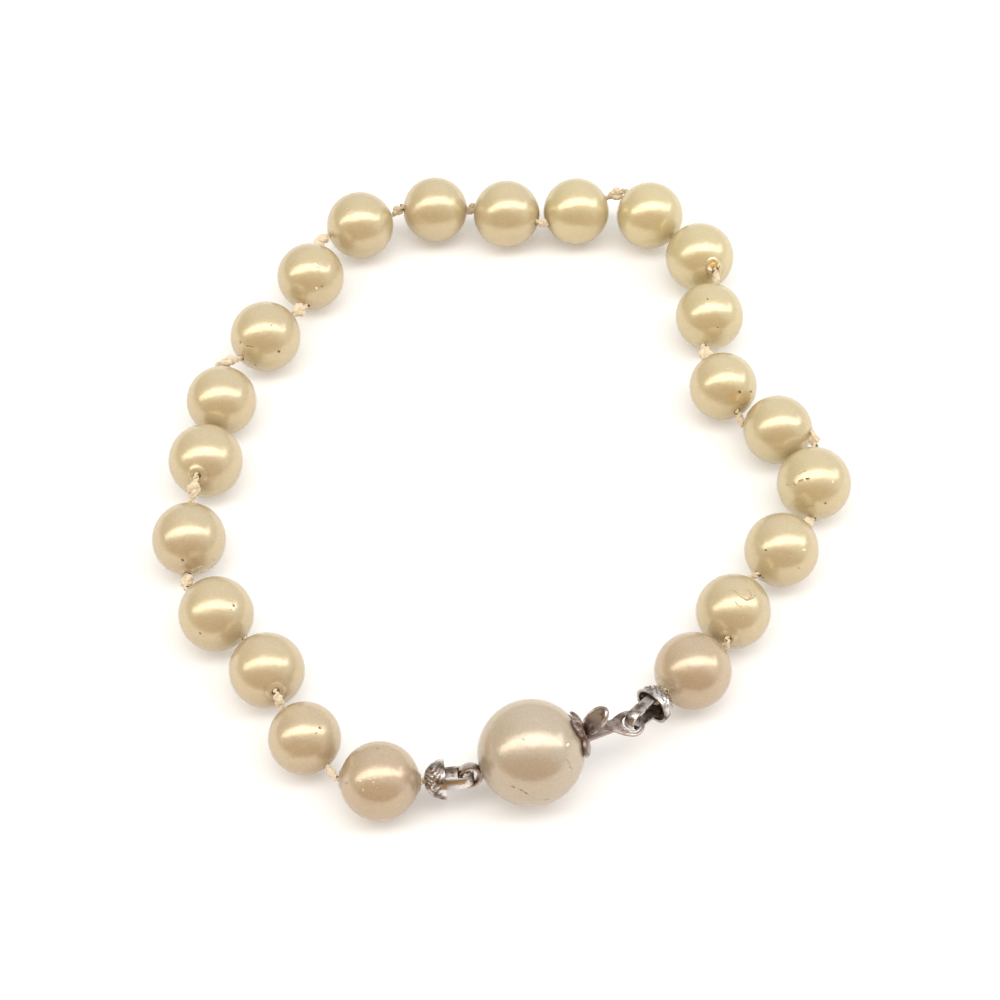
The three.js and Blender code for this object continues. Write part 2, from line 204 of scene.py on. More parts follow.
# ------------------------------------------------------------------ places read from the frame
def node_corners(node):
    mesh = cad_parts[node].data
    flat = np.zeros(len(mesh.vertices) * 3)
    mesh.vertices.foreach_get("co", flat)
    return flat.reshape(-1, 3)


def hole_axis(node, onward):
    """The direction of a pearl's drill hole, nearest to onward: corners crowd round the hole's two rims."""
    places = np.unique(np.round(node_corners(node), 6), axis=0) - np.array(ball_of(node)[0])
    units = places / np.linalg.norm(places, axis=1)[:, None]
    alike = units @ units.T > math.cos(math.radians(14))
    rims = units[alike.sum(1) == alike.sum(1).max()]
    rim = rims[rims @ rims[0] > 0.5].mean(0)
    axis = Vector(rim).normalized()
    return axis if axis.dot(onward) > 0 else -axis


def turned_frame(origin, turn, rise, roll):
    """A piece's own axes in the whole: X along it, turned from +X towards +Y, raised, and rolled about X."""
    turning = Matrix.Rotation(math.radians(turn), 4, "Z") @ Matrix.Rotation(-math.radians(rise), 4, "Y")
    return Matrix.Translation(origin) @ turning @ Matrix.Rotation(math.radians(roll), 4, "X")


def ball_of(node):
    """The middle and radius of the true ball that a node's outer corners lie on."""
    low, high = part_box(node)
    middle = np.array((low + high) / 2)
    places = node_corners(node)
    outer = places[np.linalg.norm(places - middle, axis=1) > 0.45 * max(high - low)]
    rows = np.column_stack([2 * outer, np.ones(len(outer))])
    answer = np.linalg.lstsq(rows, (outer ** 2).sum(1), rcond=None)[0]
    return Vector(answer[:3]), math.sqrt(answer[3] + answer[:3] @ answer[:3])


PEARL_NODES = [f"pearl_{number:02d}" for number in range(1, PEARL_COUNT + 1)]
CLASP_CENTRE, CLASP_RADIUS = ball_of("clasp_pearl")
CLASP_TURN = 16.5
CLASP_RISE = 13
CLASP = turned_frame(CLASP_CENTRE, CLASP_TURN, CLASP_RISE, 0)
EYE_RING_ROLL = -32

# The crowns of the two bead cups, from the middle of the clasp pearl.
LEFT_CUP = turned_frame(CLASP_CENTRE + Vector((-9.56, -2.08, -1.461)) * MM, 6, 1, -32)
RIGHT_CUP = turned_frame(CLASP_CENTRE + Vector((12.30, 5.97, -0.011)) * MM, 224, 4, 100)


# ------------------------------------------------------------------ materials
class Mixer:
    """A node tree being filled: nodes are added by kind, and what they give is passed on."""

    def __init__(self, tree):
        self.tree = tree

    def node(self, kind, **settings):
        made = self.tree.nodes.new(kind)
        for key, value in settings.items():
            setattr(made, key, value)
        return made

    def join(self, source, target):
        self.tree.links.new(source, target)

    def span(self, source, low, high, to_low=0.0, to_high=1.0):
        scaled = self.node("ShaderNodeMapRange", interpolation_type="SMOOTHSTEP")
        limits = {"From Min": low, "From Max": high, "To Min": to_low, "To Max": to_high}
        for socket, value in limits.items():
            scaled.inputs[socket].default_value = value
        self.join(source, scaled.inputs["Value"])
        return scaled.outputs["Result"]

    def sum(self, operation, first, second):
        maths = self.node("ShaderNodeMath", operation=operation)
        for socket, value in zip(maths.inputs, (first, second)):
            if isinstance(value, (int, float)):
                socket.default_value = value
            else:
                self.join(value, socket)
        return maths.outputs["Value"]

    def mix(self, share, first, second):
        """Goes from the first colour to the second as the share rises."""
        blend = self.node("ShaderNodeMix", data_type="RGBA")
        self.join(share, blend.inputs["Factor"])
        for socket, value in ((blend.inputs[6], first), (blend.inputs[7], second)):
            if isinstance(value, tuple):
                socket.default_value = (*value, 1)
            else:
                self.join(value, socket)
        return blend.outputs[2]


class Recipe(Mixer):
    """A material being mixed, with one surface shader."""

    def __init__(self, name):
        self.material = bpy.data.materials.new(name)
        self.material.use_nodes = True
        super().__init__(self.material.node_tree)
        self.shader = self.tree.nodes["Principled BSDF"]
        self.place = self.node("ShaderNodeTexCoord").outputs["Object"]

    def set(self, **values):
        for key, value in values.items():
            self.shader.inputs[key.replace("_", " ")].default_value = value

    def attribute(self, name):
        return self.node("ShaderNodeAttribute", attribute_name=name).outputs["Fac"]

    def noise(self, scale, detail=3.0, stretch=(1, 1, 1)):
        """A cloudy pattern with this many clouds a metre."""
        mapping = self.node("ShaderNodeMapping")
        mapping.inputs["Scale"].default_value = stretch
        self.join(self.place, mapping.inputs["Vector"])
        clouds = self.node("ShaderNodeTexNoise")
        clouds.inputs["Scale"].default_value = scale
        clouds.inputs["Detail"].default_value = detail
        self.join(mapping.outputs["Vector"], clouds.inputs["Vector"])
        return clouds.outputs["Fac"]

    def relief(self, height, strength, depth):
        bump = self.node("ShaderNodeBump")
        bump.inputs["Strength"].default_value = strength
        bump.inputs["Distance"].default_value = depth
        self.join(height, bump.inputs["Height"])
        self.join(bump.outputs["Normal"], self.shader.inputs["Normal"])


GRAIN_CREAM = (0.98, 0.93, 0.82)
# Pale powder of worn marks; the same colour paints small glints, a painted highlight.
PALE_POWDER_AND_GLINT = (0.93, 0.86, 0.72)
GRIME = (0.21, 0.125, 0.070)
CLEAN_SILK = (0.75, 0.64, 0.47)
SOILED_SILK = (0.56, 0.44, 0.28)


def nacre(name, body, warm, bare):
    """Pearl lustre: the body goes warmer by the tone attribute, which holds each pearl's own tone together
    with painted shade, and shows its marks.
    """
    recipe = Recipe(name)
    cloud = recipe.span(recipe.noise(330, 2), 0.35, 0.65)
    tone_and_shade = recipe.sum("ADD", recipe.attribute("tone_and_shade"), recipe.sum("MULTIPLY", cloud, 0.12))
    colour = recipe.mix(tone_and_shade, body, warm)
    grain = recipe.span(recipe.noise(5200, 4), 0.42, 0.72, 0.0, 0.10)
    colour = recipe.mix(grain, colour, GRAIN_CREAM)
    colour = recipe.mix(recipe.attribute("bare"), colour, bare)
    # Pale marks: powder and scratches, and painted glints on some raised flecks.
    colour = recipe.mix(recipe.attribute("pale"), colour, PALE_POWDER_AND_GLINT)
    colour = recipe.mix(recipe.attribute("dirt"), colour, GRIME)
    recipe.join(colour, recipe.shader.inputs["Base Color"])
    # Marks, painted glints among them, are rougher and less metallic.
    worn_and_glint = recipe.sum("MAXIMUM", recipe.attribute("dirt"), recipe.attribute("pale"))
    recipe.join(recipe.span(worn_and_glint, 0.0, 1.0, PEARL_ROUGHNESS, 0.6), recipe.shader.inputs["Roughness"])
    recipe.join(recipe.span(worn_and_glint, 0.0, 1.0, PEARL_METALLIC, 0.0), recipe.shader.inputs["Metallic"])
    recipe.set(Coat_Weight=0.85, Coat_Roughness=0.17, Coat_IOR=1.38, Specular_IOR_Level=0.35)
    recipe.set(Specular_Tint=PEARL_EDGE)
    ripple = recipe.noise(620, 2)
    fine = recipe.sum("MULTIPLY", recipe.noise(3400, 3), 0.10)
    recipe.relief(recipe.sum("ADD", ripple, fine), 0.22, 0.00022)
    return recipe.material


def silver(name, bright, dark, tarnish_low, tarnish_high, roughness):
    """Worn white metal: warm tarnish in patches and in the cuts."""
    recipe = Recipe(name)
    patches = recipe.span(recipe.noise(900, 4), tarnish_low, tarnish_high)
    share = recipe.sum("MAXIMUM", patches, recipe.attribute("cut"))
    colour = recipe.mix(share, bright, dark)
    recipe.join(colour, recipe.shader.inputs["Base Color"])
    recipe.join(recipe.span(share, 0, 1, roughness, roughness + 0.22), recipe.shader.inputs["Roughness"])
    recipe.set(Metallic=1.0)
    scratches = recipe.noise(2600, 3, (1.0, 3.2, 1.0))
    recipe.relief(scratches, 0.25, 0.00006)
    return recipe.material


def silk_fibre():
    recipe = Recipe("silk")
    soil = recipe.span(recipe.noise(700, 3), 0.45, 0.75)
    colour = recipe.mix(soil, CLEAN_SILK, SOILED_SILK)
    recipe.join(colour, recipe.shader.inputs["Base Color"])
    recipe.set(Roughness=0.85, Specular_IOR_Level=0.25, Sheen_Weight=0.25, Sheen_Roughness=0.5)
    recipe.relief(recipe.noise(9000, 2), 0.4, 0.00004)
    return recipe.material


PEARL_ROUGHNESS = 0.27
PEARL_METALLIC = 0.40
PEARL_EDGE = (0.50, 0.42, 0.32, 1)

SMALL_NACRE = nacre(
    "small_pearl_nacre", body=(0.508, 0.395, 0.279), warm=(0.653, 0.561, 0.340), bare=(0.74, 0.50, 0.17),
)
CLASP_NACRE = nacre(
    "clasp_pearl_nacre", body=(0.52, 0.445, 0.348), warm=(0.50, 0.400, 0.290), bare=(0.70, 0.55, 0.38),
)
ENGRAVED_SILVER = silver(
    "engraved_silver", bright=(0.70, 0.67, 0.64), dark=(0.15, 0.105, 0.085),
    tarnish_low=0.46, tarnish_high=0.68, roughness=0.20,
)
WORN_SILVER = silver(
    "worn_silver", bright=(0.66, 0.60, 0.57), dark=(0.19, 0.130, 0.105),
    tarnish_low=0.42, tarnish_high=0.64, roughness=0.17,
)
SILK = silk_fibre()


# ------------------------------------------------------------------ pearls
def drilled_ball(name, first_hole, second_hole, blind_depth=None):
    """A ball of radius 1 about Z with a hole from end to end, the first at +Z.

    Holes are given by their radius.
    With a blind depth, the first hole keeps its width down to that height before it narrows to the second.
    """
    rings = 64
    bpy.ops.mesh.primitive_uv_sphere_add(segments=96, ring_count=rings, radius=1)
    ball = newest(name)
    step = math.pi / rings
    reach = {1: math.asin(first_hole), -1: math.asin(second_hole)}
    kept = {side: max(1, round(angle / step)) for side, angle in reach.items()}

    def over_a_hole(face):
        side = 1 if face.center.z > 0 else -1
        return math.atan2(math.hypot(face.center.x, face.center.y), abs(face.center.z)) < kept[side] * step

    pick(ball, "FACE", over_a_hole)
    editing(ball, "FACE")
    bpy.ops.mesh.delete(type="FACE")
    done_editing()
    places = corners(ball)
    polar = np.arctan2(np.hypot(places[:, 0], places[:, 1]), np.abs(places[:, 2]))
    around = np.arctan2(places[:, 1], places[:, 0])
    for side in (1, -1):
        rim = (np.sign(places[:, 2]) == side) & (polar < (kept[side] + 0.5) * step)
        places[rim, 0] = math.sin(reach[side]) * np.cos(around[rim])
        places[rim, 1] = math.sin(reach[side]) * np.sin(around[rim])
        places[rim, 2] = side * math.cos(reach[side])
    put_corners(ball, places)
    if blind_depth is not None:
        before = len(ball.data.vertices)
        heights = corners(ball)[:, 2]
        top = math.cos(reach[1]) - 1e-5
        on_rim = {i for i in range(before) if heights[i] > top}
        pick(ball, "EDGE", lambda edge: set(edge.vertices) <= on_rim)
        editing(ball, "EDGE")
        drop = blind_depth - math.cos(reach[1])
        bpy.ops.mesh.extrude_region_move(TRANSFORM_OT_translate={"value": (0, 0, drop)})
        done_editing()
    open_edges = boundary_edges(ball)
    pick(ball, "EDGE", lambda edge: edge.index in open_edges)
    editing(ball, "EDGE")
    bpy.ops.mesh.bridge_edge_loops()
    done_editing()
    tidy(ball)
    return ball


def boundary_edges(piece):
    """The numbers of the edges that have a face on one side only."""
    count = {}
    for face in piece.data.polygons:
        for key in face.edge_keys:
            count[key] = count.get(key, 0) + 1
    return {edge.index for edge in piece.data.edges if count.get(tuple(sorted(edge.vertices)), 0) == 1}


def paint(piece, name, values):
    layer = piece.data.attributes.new(name, "FLOAT", "POINT")
    layer.data.foreach_set("value", np.asarray(values, np.float32))


def seen_axes(centre):
    """Right, up and towards the eye, as seen at this place in the usual view."""
    eye = CAMERA_AIM + TOWARDS * CAMERA_DISTANCE
    towards = (eye - centre).normalized()
    right = (RIGHT - towards * RIGHT.dot(towards)).normalized()
    return right, towards.cross(right), towards


def mark_direction(centre, across, up):
    right, skyward, towards = seen_axes(centre)
    depth = math.sqrt(max(0.0, 1 - across * across - up * up))
    return np.array(right * across + skyward * up + towards * depth)


def distance_to_stroke(units, start, end):
    """How far each direction is from the straight stroke between two directions."""
    along = end - start
    length = along @ along
    share = np.zeros(len(units)) if length < 1e-12 else np.clip((units - start) @ along / length, 0, 1)
    return np.linalg.norm(units - (start + share[:, None] * along), axis=1)


# What each kind of mark does: how deep it is cut as a share of its width, the height of its lip,
# and how much of the mark is dirt, pale powder and painted glint, or bare bead.
MARK_KINDS = {
    "pit": {"cut": 0.40, "lip": 0.06, "dirt": 1.0, "pale": 0.0, "bare": 0.0},
    "faint": {"cut": 0.25, "lip": 0.05, "dirt": 0.38, "pale": 0.0, "bare": 0.0},
    "scratch": {"cut": 0.12, "lip": 0.10, "dirt": 0.0, "pale": 0.55, "bare": 0.0},
    "speckle": {"cut": 0.10, "lip": 0.05, "dirt": 0.0, "pale": 0.55, "bare": 0.0},
    "crack": {"cut": 0.30, "lip": 0.12, "dirt": 0.62, "pale": 0.0, "bare": 0.0},
    "wrinkle": {"cut": 0.22, "lip": 0.16, "dirt": 0.62, "pale": 0.0, "bare": 0.2},
    "peel": {"cut": 0.15, "lip": 0.16, "dirt": 0.05, "pale": 0.0, "bare": 0.95},
    # Raised pale flecks: flakes of the peeling coat on pearl 15, and small glints, painted highlights, on
    # the other pearls.
    "fleck_and_glint": {"cut": -0.18, "lip": 0.0, "dirt": 0.0, "pale": 0.9, "bare": 0.0},
    "stain": {"cut": 0.01, "lip": 0.0, "dirt": 0.06, "pale": 0.0, "bare": 0.25},
}

# The marks of each piece, as kind, start across and up, end across and up, and width. Places and
# widths are shares of the pearl's radius, seen from the usual view.
MARKS = {
    "clasp_pearl": [
        ("pit", -0.35, -0.61, -0.3, -0.63, 0.013), ("pit", -0.2, -0.67, -0.15, -0.69, 0.012),
        ("pit", -0.12, -0.72, -0.07, -0.745, 0.012), ("faint", 0.28, -0.86, 0.31, -0.85, 0.022),
        ("faint", 0.64, -0.13, 0.7, -0.19, 0.014), ("faint", 0.69, -0.24, 0.75, -0.3, 0.014),
        ("faint", -0.16, 0.25, -0.12, 0.23, 0.011), ("fleck_and_glint", 0.66, 0.13, 0.68, 0.15, 0.022),
    ],
    "pearl_01": [
        ("faint", -0.83, -0.05, -0.79, -0.06, 0.029), ("pit", -0.07, 0.8, -0.06, 0.8, 0.025),
        ("speckle", -0.41, -0.2, -0.4, -0.24, 0.016), ("speckle", -0.16, -0.02, -0.15, -0.03, 0.016),
        ("speckle", -0.52, 0.02, -0.45, 0.00, 0.014), ("speckle", -0.3, 0.06, -0.22, 0.04, 0.012),
        ("speckle", 0.3, 0.2, 0.36, 0.17, 0.014), ("faint", -0.07, -0.14, -0.06, -0.14, 0.022),
    ],
    "pearl_02": [
        ("pit", 0.4, 0.28, 0.41, 0.27, 0.029), ("faint", 0.3, 0.12, 0.32, 0.12, 0.025),
        ("faint", -0.3, -0.52, -0.29, -0.53, 0.025),
    ],
    "pearl_04": [
        ("pit", 0.45, 0.22, 0.46, 0.21, 0.025), ("faint", 0.38, 0.1, 0.39, 0.1, 0.022),
        ("pit", -0.42, -0.5, -0.41, -0.51, 0.025),
    ],
    "pearl_05": [
        ("pit", -0.18, -0.55, -0.16, -0.57, 0.032), ("faint", 0.62, -0.56, 0.63, -0.56, 0.025),
        ("scratch", 0.1, -0.8, 0.32, -0.72, 0.03),
    ],
    "pearl_08": [
        ("pit", -0.71, -0.15, -0.71, -0.18, 0.023), ("pit", 0.36, -0.42, 0.38, -0.43, 0.035),
        ("pit", -0.31, -0.8, -0.29, -0.81, 0.024), ("wrinkle", -0.52, -0.27, -0.38, -0.3, 0.03),
        ("faint", 0.16, 0.32, 0.17, 0.31, 0.022),
    ],
    "pearl_09": [
        ("faint", -0.15, 0.8, -0.14, 0.8, 0.026), ("faint", -0.6, 0.38, -0.6, 0.36, 0.026),
        ("pit", 0.32, -0.28, 0.34, -0.3, 0.024), ("scratch", 0.14, 0.37, 0.24, 0.3, 0.034),
        ("fleck_and_glint", 0.16, -0.33, 0.18, -0.35, 0.026),
    ],
    "pearl_10": [
        ("faint", -0.36, 0.47, -0.35, 0.46, 0.029),
    ],
    "pearl_15": [
        ("peel", 0.37, -0.22, 0.43, -0.26, 0.115), ("fleck_and_glint", 0.25, -0.33, 0.44, -0.4, 0.03),
        ("fleck_and_glint", 0.5, -0.34, 0.53, -0.2, 0.022), ("wrinkle", 0.2, -0.35, 0.27, -0.54, 0.024),
    ],
    "pearl_16": [
        ("pit", -0.07, 0.52, -0.05, 0.51, 0.027), ("pit", 0.24, -0.32, 0.25, -0.32, 0.024),
        ("faint", -0.72, -0.35, -0.71, -0.35, 0.022),
    ],
    "pearl_17": [
        ("faint", 0.12, 0.5, 0.16, 0.49, 0.022), ("faint", 0.24, 0.46, 0.28, 0.45, 0.02),
        ("faint", 0.38, 0.42, 0.42, 0.42, 0.02), ("faint", 0.64, 0.39, 0.66, 0.37, 0.022),
        ("stain", 0.28, -0.34, 0.74, -0.36, 0.22), ("pit", 0.48, -0.17, 0.49, -0.19, 0.046),
        ("pit", 0.81, -0.16, 0.82, -0.17, 0.032), ("faint", 0.42, -0.48, 0.45, -0.5, 0.03),
        ("faint", 0.57, -0.56, 0.6, -0.57, 0.03), ("faint", 0.69, -0.51, 0.72, -0.49, 0.03),
    ],
    "pearl_19": [
        ("faint", -0.72, -0.02, -0.64, -0.03, 0.022), ("wrinkle", -0.52, 0.01, -0.5, -0.06, 0.022),
        ("wrinkle", -0.39, 0.05, -0.29, 0.1, 0.02), ("pit", -0.2, 0.12, -0.14, 0.13, 0.024),
        ("faint", -0.44, 0.25, -0.34, 0.3, 0.02), ("faint", -0.31, 0.34, -0.22, 0.34, 0.02),
        ("faint", -0.06, -0.6, -0.05, -0.6, 0.028), ("pit", 0.3, -0.52, 0.31, -0.53, 0.028),
        ("fleck_and_glint", 0.5, 0.05, 0.51, 0.04, 0.026),
    ],
    "pearl_20": [
        ("pit", -0.42, -0.01, -0.4, -0.02, 0.026), ("fleck_and_glint", 0.57, 0.00, 0.62, -0.01, 0.022),
        ("faint", 0.25, -0.13, 0.26, -0.14, 0.026), ("faint", 0.44, -0.48, 0.45, -0.49, 0.026),
        ("pit", -0.58, -0.65, -0.56, -0.67, 0.03), ("pit", -0.5, -0.74, -0.48, -0.76, 0.03),
        ("faint", 0.53, 0.7, 0.55, 0.69, 0.026),
    ],
    "pearl_21": [
        ("crack", -0.16, 0.55, 0.03, 0.55, 0.012), ("crack", 0.03, 0.55, 0.21, 0.37, 0.015),
        ("crack", 0.21, 0.37, 0.36, 0.28, 0.015), ("crack", 0.36, 0.28, 0.52, 0.34, 0.014),
        ("crack", 0.52, 0.34, 0.58, 0.43, 0.012), ("crack", 0.3, 0.585, 0.4, 0.555, 0.014),
        ("crack", 0.4, 0.555, 0.46, 0.49, 0.014), ("crack", 0.46, 0.49, 0.47, 0.37, 0.014),
        ("crack", 0.47, 0.37, 0.33, 0.29, 0.012), ("crack", 0.06, 0.245, 0.12, 0.15, 0.012),
        ("crack", 0.18, 0.12, 0.21, 0.12, 0.012), ("faint", 0.26, -0.14, 0.27, -0.14, 0.022),
        ("faint", -0.31, -0.41, -0.3, -0.41, 0.02), ("faint", -0.04, -0.44, -0.03, -0.44, 0.02),
    ],
}

# Pearls whose coating stands up in a collar at a drill hole: which end, and how proud it stands.
COLLARS = {
    "pearl_01": [(1, 0.035), (-1, 0.050)],
    "pearl_03": [(1, 0.040), (-1, 0.045)],
    "pearl_05": [(-1, 0.055)],
    "pearl_06": [(-1, 0.050)],
    "pearl_15": [(1, 0.045)],
    "pearl_21": [(1, 0.040)],
    "pearl_22": [(1, 0.045), (-1, 0.030)],
}


# Where a collar is highest and where it ends, in radians from the middle of the hole.
COLLAR_CREST = 0.17
COLLAR_FOOT = 0.29
# Corners nearer to the middle than this share of the radius are inside the drill hole.
SKIN_SHARE = 0.97


def finer_near_marks(ball, turning, centre, marks):
    """Divides the faces about each mark, so that it can be cut sharply, and rounds them again."""
    strokes = [
        (mark_direction(centre, a, b), mark_direction(centre, c, d), width)
        for _, a, b, c, d, width in marks
    ]
    for cuts, margin in ((2, 0.05), (2, 0.025)):
        middles = np.array([tuple(turning @ face.center) for face in ball.data.polygons])
        units = middles / np.linalg.norm(middles, axis=1)[:, None]
        outside = np.linalg.norm(middles, axis=1) > SKIN_SHARE
        near = np.zeros(len(units), bool)
        for start, end, width in strokes:
            near |= distance_to_stroke(units, start, end) < width * 1.7 + margin
        near &= outside
        pick(ball, "FACE", lambda face: near[face.index])
        editing(ball, "FACE")
        bpy.ops.mesh.subdivide(number_cuts=cuts)
        done_editing()
        places = corners(ball)
        lengths = np.linalg.norm(places, axis=1)
        skin = lengths > SKIN_SHARE
        places[skin] /= lengths[skin][:, None]
        put_corners(ball, places)
    return strokes


def set_pearl(ball, name, node, turning, centre, radius, tone_and_shade, material, slot):
    """Copies the ball, cuts this pearl's own marks in it and sets it in its place."""
    pearl = copy_of(ball, name)
    marks = MARKS.get(node, [])
    strokes = finer_near_marks(pearl, turning, centre, marks) if marks else []
    places = corners(pearl)
    lengths = np.linalg.norm(places, axis=1)
    skin = lengths > SKIN_SHARE
    units = (places / np.maximum(lengths, 1e-9)[:, None]) @ np.array(turning.to_3x3()).T
    height = np.zeros(len(places))
    layers = {layer: np.zeros(len(places)) for layer in ("dirt", "pale", "bare")}
    for (kind, *_, width), (start, end, _) in zip(marks, strokes):
        effect = MARK_KINDS[kind]
        away = distance_to_stroke(units, start, end) / width
        inside = np.exp(-(away ** 4))
        lip = np.exp(-(((away - 1.35) / 0.35) ** 2))
        height += width * (effect["lip"] * lip - effect["cut"] * inside)
        for layer in layers:
            layers[layer] = np.maximum(layers[layer], effect[layer] * np.exp(-((away / 1.05) ** 6)))
    polar = np.arctan2(np.hypot(places[:, 0], places[:, 1]), places[:, 2])
    for end, proud in COLLARS.get(node, []):
        from_hole = polar if end > 0 else math.pi - polar
        height += proud * np.exp(-(((from_hole - COLLAR_CREST) / 0.08) ** 2))
        foot = 0.22 * np.exp(-(((from_hole - COLLAR_FOOT) / 0.045) ** 2))
        layers["dirt"] = np.maximum(layers["dirt"], foot)
    # Darker round each hole's mouth, and darker again on the walls of the bore.
    hole_edge = np.minimum(polar, math.pi - polar)
    hole_darkening = np.where(skin, 0.15 * np.exp(-((hole_edge / 0.15) ** 6)), 0.3)
    layers["dirt"] = np.maximum(layers["dirt"], hole_darkening)
    outward = places / np.maximum(lengths, 1e-9)[:, None]
    places = places + outward * np.where(skin, height, 0)[:, None]
    put_corners(pearl, places)
    whole = Matrix.Translation(centre) @ turning @ Matrix.Diagonal((radius, radius, radius, 1))
    pearl.data.transform(whole)
    for layer, values in layers.items():
        paint(pearl, layer, values)
    # The tone attribute holds each pearl's own tone and its painted shade.
    paint(pearl, "tone_and_shade", np.full(len(places), tone_and_shade))
    smooth(pearl, 50)
    return finish_piece(pearl, "root", slot, material, node)


PEARL_SIDES = 16
PEARL_BANDS = 9
CORNER_SWELL = 1 / (math.cos(math.pi / PEARL_SIDES) * math.cos(math.pi / PEARL_BANDS / 2))

PEARL_BALLS = [ball_of(node) for node in PEARL_NODES]
PEARL_CENTRES = [centre for centre, corner in PEARL_BALLS]


def pearl_axes():
    """Each pearl's hole, from the side the thread comes in to the side it leaves."""
    axes = []
    last = len(PEARL_NODES) - 1
    for index, node in enumerate(PEARL_NODES):
        before = PEARL_CENTRES[max(index - 1, 0)]
        after = PEARL_CENTRES[min(index + 1, last)]
        axes.append(hole_axis(node, after - before))
    return axes


PEARL_AXES = pearl_axes()


HOLE_SHARE = 0.10
# How light and yellow each pearl in turn is, from 0, the deepest and rosiest, to 1. This is partly
# the pearl's own tone and partly painted shade: pearls 01, 02 and 22, nearest the viewer, are set darker for
# the darker room in front.
PEARL_TONES_AND_SHADE = (
    0.00, 0.26, 0.43, 0.51, 0.43, 0.55, 0.58, 0.60, 0.60, 0.60, 0.62,
    0.64, 0.85, 1.00, 0.90, 0.81, 0.73, 0.72, 0.70, 0.60, 0.52, 0.06,
)


def make_pearls():
    ball = drilled_ball("drilled_ball", HOLE_SHARE, HOLE_SHARE)
    for index, node in enumerate(PEARL_NODES):
        middle, corner = PEARL_BALLS[index]
        radius = corner / CORNER_SWELL
        centre = Vector((middle.x, middle.y, radius))
        turning = PEARL_AXES[index].to_track_quat("Z", "Y").to_matrix().to_4x4()
        name = f"{node}_skin"
        tone_and_shade = PEARL_TONES_AND_SHADE[index]
        set_pearl(ball, name, node, turning, centre, radius, tone_and_shade, SMALL_NACRE, "small_pearl")
    bpy.data.objects.remove(ball)


CLASP_BORE_RADIUS = 1.6 * MM
CLASP_BORE_END = -3.1 * MM
PEG_HOLE_RADIUS = 0.72 * MM
CLASP_TONE = 0.25


def make_clasp_pearl():
    bore = CLASP_BORE_RADIUS / CLASP_RADIUS
    peg = PEG_HOLE_RADIUS / CLASP_RADIUS
    ball = drilled_ball("bored_ball", bore, peg, CLASP_BORE_END / CLASP_RADIUS)
    turning = CLASP.to_3x3() @ Matrix.Rotation(math.pi / 2, 3, "Y")
    set_pearl(
        ball, "clasp_pearl_skin", "clasp_pearl", turning.to_4x4(), CLASP_CENTRE, CLASP_RADIUS,
        CLASP_TONE, CLASP_NACRE, "clasp_pearl",
    )
    bpy.data.objects.remove(ball)


# ------------------------------------------------------------------ strips, rods and cords
def swept(name, points, radius=0.0, half_width=0.0, closed=False, sides=2):
    """A mesh along a line of points: a round cord with a radius, or a flat ribbon with a half width."""
    data = bpy.data.curves.new(name, "CURVE")
    data.dimensions = "3D" if radius else "2D"
    data.bevel_depth = radius
    data.bevel_resolution = sides
    data.extrude = half_width
    data.fill_mode = "FULL" if radius else "NONE"
    line = data.splines.new("POLY")
    line.points.add(len(points) - 1)
    for point, place in zip(line.points, points):
        point.co = (*place, 1) if len(place) == 3 else (*place, 0, 1)
    line.use_cyclic_u = closed
    holder = bpy.data.objects.new(name, data)
    bpy.context.scene.collection.objects.link(holder)
    take(holder)
    bpy.ops.object.convert(target="MESH")
    return newest(name)


def ribbon(name, points, width, thickness, edge=0.04, closed=False):
    """A flat metal strip that follows a line of points in its own XY plane, with eased edges."""
    scaled = [(x * MM, y * MM) for x, y in points]
    strip = swept(name, scaled, half_width=width * MM / 2, closed=closed)
    tidy(strip)
    modify(strip, "SOLIDIFY", thickness=thickness * MM, offset=0.0, use_even_offset=True)
    tidy(strip)
    if edge:
        bevelled(strip, edge * MM, 2, 50)
    return strip


def arc(centre_x, centre_y, radius, start, end, steps):
    """Points of an arc in a plane, between two angles in degrees."""
    angles = np.radians(np.linspace(start, end, steps + 1))
    return [(centre_x + radius * math.cos(a), centre_y + radius * math.sin(a)) for a in angles]


def upright(piece):
    """Stands a piece drawn in the XY plane up in the XZ plane."""
    piece.data.transform(Matrix.Rotation(math.pi / 2, 4, "X"))
    return piece


def rod(name, radius, start, end, sides=32):
    """A round rod along X, in millimetres."""
    length = (end - start) * MM
    bpy.ops.mesh.primitive_cylinder_add(
        vertices=sides, radius=radius * MM, depth=length, location=((start + end) / 2 * MM, 0, 0),
        rotation=(0, math.pi / 2, 0),
    )
    made = newest(name)
    bpy.ops.object.transform_apply()
    return made


def cut_share(piece, test):
    """Paints where the metal is cut or sheltered, so that tarnish gathers there."""
    places = corners(piece) / MM
    paint(piece, "cut", np.clip([test(*place) for place in places], 0, 1))


# ------------------------------------------------------------------ silk thread and knots
PLY_RADIUS = 0.165 * MM
PLY_OFFSET = 0.15 * MM
TWIST_LENGTH = 0.95 * MM
THREAD_STEP = 0.12 * MM
KNOT_STEPS = 72
KNOT_SCALE = 0.215
KNOT_PLY_OFFSET = 0.16
KNOT_PLY_TURNS = 1.3
KNOT_PLY_RADIUS = 0.27
KNOT_ROLL = 1.9
KNOT_RADIUS = 0.78 * MM
SMALL_KNOT_RADIUS = 0.60 * MM
# The knots that sink into the drill holes, counted from the left cup.
TUCKED_KNOTS = (0, 19, 20)
TUCKED_KNOT_RADIUS = 0.42 * MM
MOUTH_GAP = 0.1 * MM
CUP_KNOT_DEPTH = 1.05 * MM
CUP_KNOT_RADIUS = 0.52 * MM


